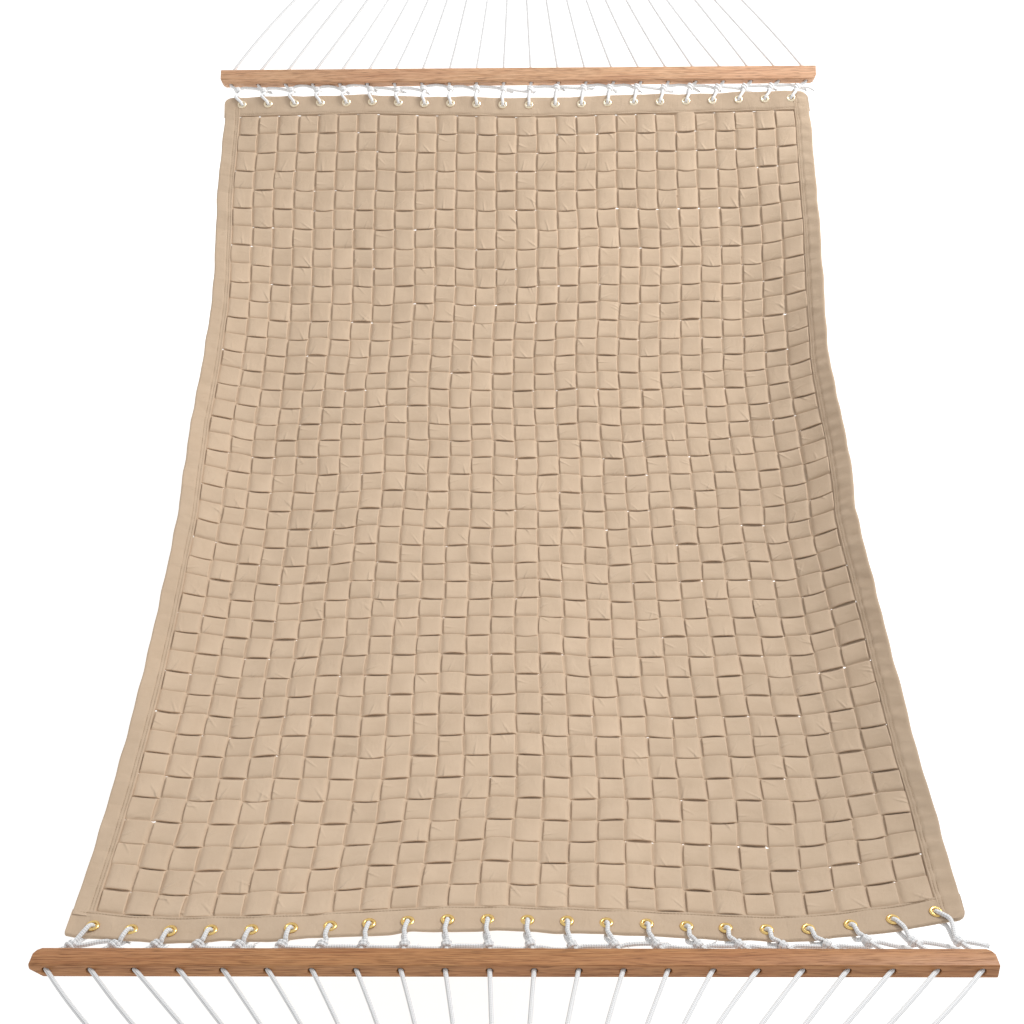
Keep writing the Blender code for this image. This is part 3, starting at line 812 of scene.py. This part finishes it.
def end_hem(end):
    """The flat band at one end of the bed, with the strips sewn in under its inner edge."""
    share = np.array([0.0, 0.012, 0.04, 0.09, 0.16, 0.26, 0.38, 0.50, 0.62])
    share = np.concatenate([share, [0.74, 0.82, 0.87, 0.90, 0.93, 0.96, 0.985, 1.0]])
    back = np.array([0.985, 0.8, 0.5, 0.2, 0.015])
    corner = np.array([0.0, 0.0004, 0.0012, 0.0025])
    x = np.linspace(-HALF_WIDTH, HALF_WIDTH, 269)
    x = np.concatenate([corner - HALF_WIDTH, x[1:-1], HALF_WIDTH - corner[::-1]])
    half = HEM_THICKNESS / 2
    edge = np.clip(np.minimum(share, 1 - share) / 0.04, 0, 1) ** 0.5
    top = half * edge - 0.0010 * groove((share - 0.90) * END_HEM_WIDTH)
    phase = (x + INNER_HALF) / COLUMN_PITCH
    bumps = np.cos(phase * math.pi) * (np.abs(x) < INNER_HALF)
    random_rise = np.interp(x, np.linspace(-0.68, 0.68, 60), rng.normal(0, 0.0006, 60))
    top = top[None, :] + 0.0005 * bumps[:, None] * share[None, :] ** 2
    top = top + random_rise[:, None] * np.sin(share * math.pi)[None, :]
    fold = np.interp(x, np.linspace(-0.68, 0.68, 44), rng.normal(0, 0.0012, 44))
    lip = fold[:, None] * (1 - share[None, :]) ** 2
    back_edge = np.clip(np.minimum(back, 1 - back) / 0.04, 0, 1) ** 0.5
    bottom = -half * back_edge[None, :] + fold[:, None] * (1 - back[None, :]) ** 2
    height = np.concatenate([top + lip, bottom], 1)
    distance = np.concatenate([share, back]) * END_HEM_WIDTH
    wobble = np.interp(x, np.linspace(-0.68, 0.68, 50), rng.normal(0, 0.0006, 50))
    cut = np.where(
        x < 0,
        corner_cut(-x, CORNER_ROUND[f"{end} left"], HALF_WIDTH),
        corner_cut(x, CORNER_ROUND[f"{end} right"], HALF_WIDTH),
    )
    s = (cut + wobble - END_HEM_WIDTH)[:, None] * (1 - distance / END_HEM_WIDTH)[None, :]
    places = s if end == "foot" else BED_LENGTH - s
    shape = Shape()
    around = np.concatenate([share, 2 - back, [2.0]]) * END_HEM_WIDTH
    offset = 40.0 if end == "foot" else 44.0
    shape.sweep(on_bed(np.repeat(x[:, None], len(distance), 1), places, height + 0.0008), around, x + offset)
    hem = shape.make(f"{end}_end_hem_cloth", FABRIC_HEM)
    punch = Shape()
    for rope in range(ROPES):
        low, high = grommet_ends(end, rope)
        add_tube(punch, [low, high], PUNCH_RADIUS, 24)
    cut_holes(hem, punch.make(f"{end}_punch", FABRIC_HEM))
    return hem


def cut_holes(made, cutter):
    """Takes a cutter out of an object, and puts all of the object's modifiers into its mesh."""
    cut = made.modifiers.new("holes", "BOOLEAN")
    cut.operation = "DIFFERENCE"
    cut.solver = "EXACT"
    cut.object = cutter
    graph = bpy.context.evaluated_depsgraph_get()
    mesh = bpy.data.meshes.new_from_object(made.evaluated_get(graph), depsgraph=graph)
    made.modifiers.clear()
    made.data = mesh
    bpy.data.objects.remove(cutter)


EYELET_SIDES = 32


def grommet_place(rope):
    return (rope - (ROPES - 1) / 2) * GROMMET_PITCH, GROMMET_INSET - END_HEM_WIDTH


def grommet_ends(end, rope):
    """Points below and above the hem on one grommet's line."""
    x, s = grommet_place(rope)
    if end == "head":
        s = BED_LENGTH - s
    return on_bed(np.array([x, x]), np.array([s, s]), np.array([-0.012, 0.012]))


def grommets(end):
    """A rolled brass eyelet with its washer for each rope. Its profile is radius and height."""
    profile = np.array([
        (0.0056, -0.0046), (0.0056, 0.0040), (0.0060, 0.0050), (0.0068, 0.0056), (0.0080, 0.0057),
        (0.0092, 0.0052), (0.0101, 0.0044), (0.0105, 0.0037), (0.0104, 0.0033), (0.0066, 0.0032),
        (0.0062, -0.0028), (0.0100, -0.0030), (0.0103, -0.0036), (0.0098, -0.0044), (0.0070, -0.0052),
    ])
    shape = Shape()
    for rope in range(ROPES):
        low, high = grommet_ends(end, rope)
        up = unit(high - low)
        side = unit(np.cross(up, (0.0, 1.0, 0.0)))
        other = np.cross(up, side)
        middle = (low + high) / 2 + up * 0.0008
        tip = rng.normal(0, 0.03, 2)
        up = unit(up + side * tip[0] + other * tip[1])
        side = unit(np.cross(up, (0.0, 1.0, 0.0)))
        other = np.cross(up, side)
        turns = np.arange(EYELET_SIDES) * math.tau / EYELET_SIDES
        spokes = np.cos(turns)[:, None] * side + np.sin(turns)[:, None] * other
        rings = middle + spokes[:, None, :] * profile[None, :, :1] + up * profile[None, :, 1:]
        around = np.concatenate([lengths(profile), [0.03]])
        shape.sweep(rings, around, np.arange(EYELET_SIDES + 1) / EYELET_SIDES, looped=True)
    return shape.make(f"{end}_grommets", BRASS[end])


# ---------------------------------------------------------------- ropes
NECK_COLUMNS = (4, 5, 4, 5, 4)
NECK_PITCH = 2 * ROPE_RADIUS + 0.0004
NECK_START = 0.1336  # from the upper bowl's middle
NECK_END = NECK_START + 0.055
NECK_RADIUS = size_of("foot_rope_neck")[0] / 2
BOWL_RADIUS = 0.014
BOWL_SPACING = 0.050
BOWL = HOOK - ROPE_WAY * BOWL_SPACING / 2
TWINE_PITCH = 0.0023
WIRE_RADIUS = 0.0040
RING_RADIUS = 0.029
RING_DISTANCE = 0.0846
EYE_BEND = 0.0114
FIRST_FAR_KNOT = 19  # the foot end's last three knots lie further from the bar
FAR_KNOT_OUT = 0.009
KNOT_OUT = {"foot": 0.0165, "head": 0.0125}  # from a bar to its knots
BIND_RADIUS = 0.0046
BIND_POINTS = 18
BOW_AT = (0.0, 0.5, 0.75, 1.0)  # share of the way out along the bar
BOW_SHARE = (0.15, 0.13, 0.0, -0.24)


def neck_places():
    places = []
    for column, count in enumerate(NECK_COLUMNS):
        across = (column - 2) * NECK_PITCH * math.sqrt(0.75)
        for level in range(count):
            places.append((across, (level - (count - 1) / 2) * NECK_PITCH))
    return places


def rope_line(end, rope):
    """A rope's path in four parts: from the neck through the bar, round the hem's edge and through its
    grommet, round itself in a knot, and along its tail."""
    share = rope - (ROPES - 1) / 2
    hole = X * share * HOLE_PITCH
    across, up = neck_places()[rope]
    place = X * across + ROPE_UP * up
    bar_out = BAR - BAR_WAY * (BAR_DEPTH / 2 - 0.004) + hole
    bar_in = BAR + BAR_WAY * (BAR_DEPTH / 2 + 0.001) + hole
    start = [
        BOWL + ROPE_WAY * (NECK_END - 0.004) + place,
        BOWL + ROPE_WAY * (NECK_END + 0.012) + place,
        BOWL + ROPE_WAY * (NECK_END + 0.060) + place * 1.5,
    ]
    start = mirrored(np.array(start), end)
    outer = mirrored(bar_out, end)
    inner = mirrored(bar_in, end)
    low, high = grommet_ends(end, rope)
    eye = (low + high) / 2
    lift = unit(high - low)
    away = unit(eye - inner)
    level = unit(np.array((0.0, away[1], away[2])))
    aside = rng.uniform(0.46, 0.60) * (eye[0] - inner[0])
    knot = inner + level * (KNOT_OUT[end] + rng.uniform(-0.002, 0.002)) + X * aside
    if end == "foot" and rope >= FIRST_FAR_KNOT:
        knot = knot + level * FAR_KNOT_OUT
    side = unit(X - away * (X @ away))
    above = unit(np.cross(side, away))
    if above[2] < 0:
        above = -above
    edge_x = grommet_place(rope)[0]
    rim_s = -END_HEM_WIDTH if end == "foot" else BED_LENGTH + END_HEM_WIDTH
    lean = (knot[0] - edge_x) * 0.55
    rims = on_bed([edge_x + lean, edge_x + lean * 0.9], [rim_s, rim_s], np.array([0.0062, -0.0058]))
    swing = rng.normal(0, 0.0010)
    loop = [
        knot + above * 0.0006,
        knot + away * 0.0085 + above * 0.0022 + side * (swing + 0.0012),
        rims[0] + side * 0.0010 + lift * 0.0008,
        eye + lift * 0.0080 - away * 0.0052,
        eye + lift * 0.0055 - away * 0.0006,
        eye - lift * 0.0010 + away * 0.0008,
        eye - lift * 0.0078 - away * 0.0040,
        rims[1] - side * 0.0016,
        knot + away * 0.0080 - above * 0.0036 - side * 0.0012,
    ]
    coil = knot_coil(knot, away, side, above)
    return [*start, outer, inner], loop, coil, tail_line(end, rope, knot, away, side)


def knot_coil(knot, away, side, above):
    """The turns of a rope round itself."""
    coil = []
    creeps = np.linspace(0.0058, -0.0044, BIND_POINTS)
    for turn, creep in zip(np.linspace(-0.5 * math.pi, 3.05 * math.pi, BIND_POINTS), creeps):
        round_knot = BIND_RADIUS * (math.cos(turn) * side * 1.12 + math.sin(turn) * above)
        coil.append(knot + away * creep + round_knot)
    return coil


def tail_line(end, rope, knot, away, side):
    """A rope's loose end, lying off to the right with a bow and a sag of its own."""
    reach = rng.uniform(0.058, 0.080)
    bow = rng.uniform(-0.010, 0.004)
    sag = rng.uniform(0.004, 0.012)
    forward = rng.uniform(0.0, 0.10)
    if end == "foot" and rope == 0:
        bow, forward = 0.010, 0.32
    if end == "foot" and rope >= FIRST_FAR_KNOT:
        sag, forward = 0.030, 0.0
    way = unit(X + away * forward)
    tail = []
    for step in (0.16, 0.36, 0.58, 0.80, 1.0):
        drop = np.array((0.0, 0.0, -1.0)) * sag * step**1.6
        bend = away * bow * math.sin(step * math.pi)
        tail.append(knot - away * 0.0030 + side * 0.0050 + way * reach * step + drop + bend)
    if rope == ROPES - 1:
        tail = [knot + (p - knot) * 0.55 for p in tail]
    return tail


def frayed(shape, tip, way, radius):
    """A small brush of loose strands at a rope's cut end."""
    for _ in range(7):
        spread = rng.normal(0, 0.35, 3)
        ahead = unit(way + spread)
        begin = tip - way * 0.002 + rng.normal(0, radius * 0.4, 3)
        path = [begin, begin + unit(way + spread * 0.4) * 0.004, begin + ahead * rng.uniform(0.006, 0.010)]
        add_tube(shape, path, np.array([0.0008, 0.0006, 0.0003]), 5)


def ropes(end):
    """All of one end's ropes. The outer ones bow a little, as the photo shows."""
    shape = Shape()
    for rope in range(ROPES):
        run, loop, coil, tail = rope_line(end, rope)
        fan, outer, inner = run[2:]
        slack = 0.003 + 0.004 * rng.random()
        out = abs(outer[0]) / (BAR_LENGTH / 2)
        bow = -outer[0] * (np.interp(out, BOW_AT, BOW_SHARE) + rng.normal(0, 0.05))
        path = run[:3]
        for share in (0.03, 0.3, 0.5, 0.7, 0.82, 0.9, 0.96, 0.992):
            hang = np.array((0.0, 0.0, -4 * slack * share * (1 - share)))
            spread = X * bow * math.sin(math.pi * share) * share**1.5 / math.pi
            path.append(fan * (1 - share) + outer * share + hang + spread)
        path += [outer * (1 - share) + inner * share for share in (0.0, 0.3, 0.7, 1.0)]
        path = spline([*path, *loop, *coil, *tail], 0.016, 14.0, 14)
        radius = np.full(len(path), ROPE_RADIUS)
        squeezed = np.linalg.norm(path - np.array(coil).mean(0), axis=1) < 0.0085
        radius[squeezed] = ROPE_RADIUS * 0.94
        radius[-1] = ROPE_RADIUS * 0.75
        add_tube(shape, path, radius, 10, 1.7 * rope)
        frayed(shape, path[-1], unit(path[-1] - path[-2]), ROPE_RADIUS)
    return shape.make(f"{end}_ropes", ROPE[end])


def rope_neck(end):
    """Twine whipped round the bundle of ropes."""
    shape = Shape()
    core = [BOWL + ROPE_WAY * d for d in (NECK_START + 0.001, NECK_END - 0.001)]
    core = mirrored(np.array([core[0], (core[0] + core[1]) / 2, core[1]]), end)
    add_tube(shape, core, NECK_RADIUS - 0.0016, 32)
    count = int((NECK_END - NECK_START - 0.004) / TWINE_PITCH)
    turns = np.linspace(0, count * math.tau, count * 26)
    reach = NECK_RADIUS - 0.0012
    coil = BOWL + ROPE_WAY * (NECK_START + 0.002) + np.outer(turns / math.tau * TWINE_PITCH, ROPE_WAY)
    coil = coil + reach * (np.outer(np.cos(turns), X) + np.outer(np.sin(turns), ROPE_UP))
    add_tube(shape, mirrored(coil, end), TWINE_PITCH / 2, 7)
    return shape.make(f"{end}_neck_whipping", TWINE)


def rope_eye(end):
    """The eye that comes out of the neck and goes round the ring."""
    shape = Shape()
    ring_far = BOWL + ROPE_WAY * (RING_DISTANCE + RING_RADIUS)
    path = [ring_far + ROPE_WAY * reach + ROPE_UP * EYE_BEND for reach in (0.030, 0.016)]
    for step in range(13):
        angle = math.pi / 2 + math.pi * step / 12
        path.append(ring_far + EYE_BEND * (math.cos(angle) * ROPE_WAY + math.sin(angle) * ROPE_UP))
    path += [ring_far + ROPE_WAY * reach - ROPE_UP * EYE_BEND for reach in (0.016, 0.030)]
    add_tube(shape, mirrored(spline(path, 0.003, 10.0, 6), end), 0.0068, 20)
    return shape.make(f"{end}_rope_eye", ROPE[end])


# ---------------------------------------------------------------- bars
COUNTERSINK = 0.0013
COUNTERSINK_WIDER = 0.0030
CORNER_CUT = 0.011
FOOT_SLANT = 0.019  # how far the foot bar's left end is cut back at the bottom


def bar(end):
    """A bar with eased edges, cut corners on the bed side and a countersunk hole for each rope.
    Its own X runs along it, its Y to the bed."""
    half_length = BAR_LENGTH / 2
    half_depth = BAR_DEPTH / 2
    outline = [
        (half_length, half_depth - CORNER_CUT),
        (half_length - CORNER_CUT * 0.4, half_depth - CORNER_CUT * 0.35),
        (half_length - CORNER_CUT, half_depth),
    ]
    outline += [(-x, y) for x, y in reversed(outline)]
    outline += [(-half_length, -half_depth), (half_length, -half_depth)]
    made = bmesh.new()
    slant = FOOT_SLANT if end == "foot" else 0.0
    rings = []
    for height, back in ((-0.5, slant), (0.12, 0.0), (0.5, 0.0)):
        shifted = [(x + back if x < 0.001 - half_length else x, y) for x, y in outline]
        rings.append([made.verts.new((x, y, BAR_HEIGHT * height)) for x, y in shifted])
    for lower, upper in zip(rings, rings[1:]):
        for index in range(len(outline)):
            after = (index + 1) % len(outline)
            made.faces.new((lower[index], lower[after], upper[after], upper[index]))
    made.faces.new(rings[0])
    made.faces.new(rings[-1])
    bmesh.ops.recalc_face_normals(made, faces=made.faces)
    mesh = bpy.data.meshes.new(f"{end}_bar_wood")
    made.to_mesh(mesh)
    made.free()
    mesh.materials.append(OAK[end])
    piece = bpy.data.objects.new(f"{end}_bar_wood", mesh)
    bpy.context.scene.collection.objects.link(piece)
    ease = piece.modifiers.new("eased", "BEVEL")
    ease.width = 0.0020
    ease.segments = 4
    ease.limit_method = "ANGLE"
    ease.angle_limit = math.radians(40)
    drill = Shape()
    wide = HOLE_RADIUS + COUNTERSINK_WIDER
    for rope in range(ROPES):
        x = (rope - (ROPES - 1) / 2) * HOLE_PITCH
        ways = (-half_depth - 0.002, COUNTERSINK - half_depth, half_depth - COUNTERSINK, half_depth + 0.002)
        add_tube(drill, [(x, y, 0.0) for y in ways], np.array([wide, HOLE_RADIUS, HOLE_RADIUS, wide]), 28)
    cut_holes(piece, drill.make(f"{end}_drill", OAK[end]))
    piece.data.shade_smooth()
    piece.data.set_sharp_from_angle(angle=math.radians(35))
    sign = 1.0 if end == "foot" else -1.0
    centre = BAR if end == "foot" else HEAD_BAR
    way = np.array((0.0, sign * BAR_WAY[1], BAR_WAY[2]))
    along = np.array((sign, 0.0, 0.0))
    up = np.cross(along, way)
    piece.matrix_world = Matrix([*np.stack([along, way, up, centre], 1), (0.0, 0.0, 0.0, 1.0)])
    return piece


# ---------------------------------------------------------------- rings and hooks
def ring(end):
    shape = Shape()
    around = np.arange(20) * math.tau / 20
    rings = []
    for turn in np.arange(72) * math.tau / 72:
        outward = math.sin(turn) * X - math.cos(turn) * ROPE_WAY
        section = np.outer(np.cos(around), outward) + np.outer(np.sin(around), ROPE_UP)
        rings.append(RING + RING_RADIUS * outward + WIRE_RADIUS * section)
    shape.sweep(mirrored(np.array(rings), end), np.arange(21) / 20, np.arange(73) * 0.0025, looped=True)
    return shape.make(f"{end}_steel_ring", STEEL)


def hook(end):
    """An S-hook: two bowls of 244 degrees, joined by a straight piece that touches both."""
    shape = Shape()
    sweep = math.radians(244)
    tangent = math.acos(2 * BOWL_RADIUS / BOWL_SPACING)
    lower = BOWL + ROPE_WAY * BOWL_SPACING
    points = []
    for centre, start, turn in ((BOWL, tangent + sweep, -sweep), (lower, tangent + math.pi, sweep)):
        for step in range(29):
            angle = start + turn * step / 28
            points.append(centre + BOWL_RADIUS * (math.cos(angle) * ROPE_WAY + math.sin(angle) * ROPE_UP))
    add_tube(shape, mirrored(points, end), WIRE_RADIUS, 20, rounded_ends=True)
    return shape.make(f"{end}_steel_hook", STEEL)


# ---------------------------------------------------------------- the object
def across_the_twist(piece):
    """Puts a piece's placement into its mesh."""
    tuple(mirrored(HEM_INNER, "head"))
    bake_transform(piece)


def bed_pieces():
    for name, piece in woven_strips().items():
        across_the_twist(piece)
        half = name.rsplit("_", 1)[1]
        ends = [half] if half in ("foot", "head") else ["foot", "head"]
        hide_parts(*[f"{end}_woven_panel" for end in ends])
    for side in ("left", "right"):
        hem = side_hem(side)
        sign = -1.0 if side == "left" else 1.0
        thread_rows = Shape()
        over = END_HEM_WIDTH - 0.003
        s = np.linspace(0.002 if side == "left" else -over, BED_LENGTH + over, 940)
        for inset in STITCH_ROWS:
            x = sign * np.full(len(s), INNER_HALF - HEM_OVERLAP + inset)
            stitches(thread_rows, x, s, 0.0030 + over_end_hems(side, s))
        sewn = thread_rows.make(f"{side}_hem_stitching", THREAD)
        across_the_twist(hem)
        across_the_twist(sewn)
        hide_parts(f"foot_{side}_side_hem", f"head_{side}_side_hem")


def end_pieces(end):
    hem = end_hem(end)
    thread_rows = Shape()
    x = np.linspace(0.012 - HALF_WIDTH, HALF_WIDTH - 0.012, 700)
    s = -END_STITCH_ROW if end == "foot" else BED_LENGTH + END_STITCH_ROW
    stitches(thread_rows, x, np.full(len(x), s), np.full(len(x), 0.0034))
    sewn = thread_rows.make(f"{end}_hem_stitching", THREAD)
    eyelets = grommets(end)
    rows = (
        (hem, "tan_weave", [f"{end}_end_hem"]),
        (sewn, "tan_weave", []),
        (eyelets, "brass", []),
        (ropes(end), "white_rope", [f"{end}_rope_{rope + 1:02d}" for rope in range(ROPES)]),
        (rope_neck(end), "white_rope", [f"{end}_rope_neck"]),
        (rope_eye(end), "white_rope", [f"{end}_rope_neck"]),
        (bar(end), "oak", [f"{end}_spreader_bar"]),
        (ring(end), "zinc_steel", [f"{end}_ring"]),
        (hook(end), "zinc_steel", [f"{end}_s_hook"]),
    )
    for piece, slot, nodes in rows:
        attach(piece, "hooks" if "hook" in piece.name else f"{end}_half")
        if nodes:
            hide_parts(*nodes)


# ---------------------------------------------------------------- stage, light and camera
FLOOR_DROP = 0.48  # below the middle of the bed
FLOOR_REACH = 40.0
SKY_STRENGTH = 0.72
KEY_POWER = 124.0
KEY_SIZE = 1.2
KEY_WAY = Vector((2.55, 2.10, 2.40))  # from the middle of the bed
LENS = 49.827
CAMERA_WAY = np.array((0.0317, -0.7269, 2.0292))  # from the middle of the foot bar
CAMERA_TURN = (37.349, 0.772, 0.349)


def studio():
    """A floor that glows as white as the photo's ground, a soft light from the far right and a pale sky."""
    mesh = bpy.data.meshes.new("floor")
    low, far = MIDDLE_Z - FLOOR_DROP, FLOOR_REACH
    corners = [(-far, -far, low), (far, -far, low), (far, far, low), (-far, far, low)]
    mesh.from_pydata(corners, [], [(0, 1, 2, 3)])
    mesh.materials.append(Finish("white_floor").surface({
        "Base Color": (0.62, 0.62, 0.62),
        "Roughness": 0.9,
        "Emission Color": (1.0, 1.0, 1.0),
        "Emission Strength": 0.64,
    }))
    floor = bpy.data.objects.new("floor", mesh)
    bpy.context.scene.collection.objects.link(floor)

    world = bpy.data.worlds.new("studio")
    world.use_nodes = True
    sky = world.node_tree.nodes["Background"].inputs
    sky["Color"].default_value = (1.0, 1.0, 1.0, 1.0)
    sky["Strength"].default_value = SKY_STRENGTH
    bpy.context.scene.world = world

    key = bpy.data.lights.new("key", "AREA")
    key.energy = KEY_POWER
    key.size = KEY_SIZE
    lamp = bpy.data.objects.new("key", key)
    lamp.location = Vector((0.0, MIDDLE_Y, MIDDLE_Z)) + KEY_WAY
    lamp.rotation_euler = KEY_WAY.to_track_quat("Z", "Y").to_euler()
    bpy.context.scene.collection.objects.link(lamp)
    bpy.context.scene.view_settings.view_transform = "Standard"


def camera():
    """The photo's view, fitted to the bars and the weave's rows."""
    data = bpy.data.cameras.new("camera")
    data.sensor_width = 36.0
    data.lens = LENS
    data.clip_start = 0.05
    data.clip_end = 100.0
    made = bpy.data.objects.new("camera", data)
    made.location = BAR * (0.0, 1.0, 1.0) + CAMERA_WAY
    made.rotation_euler = [math.radians(turn) for turn in CAMERA_TURN]
    bpy.context.scene.collection.objects.link(made)
    bpy.context.scene.camera = made


bed_pieces()
end_pieces("foot")
end_pieces("head")
studio()
camera()
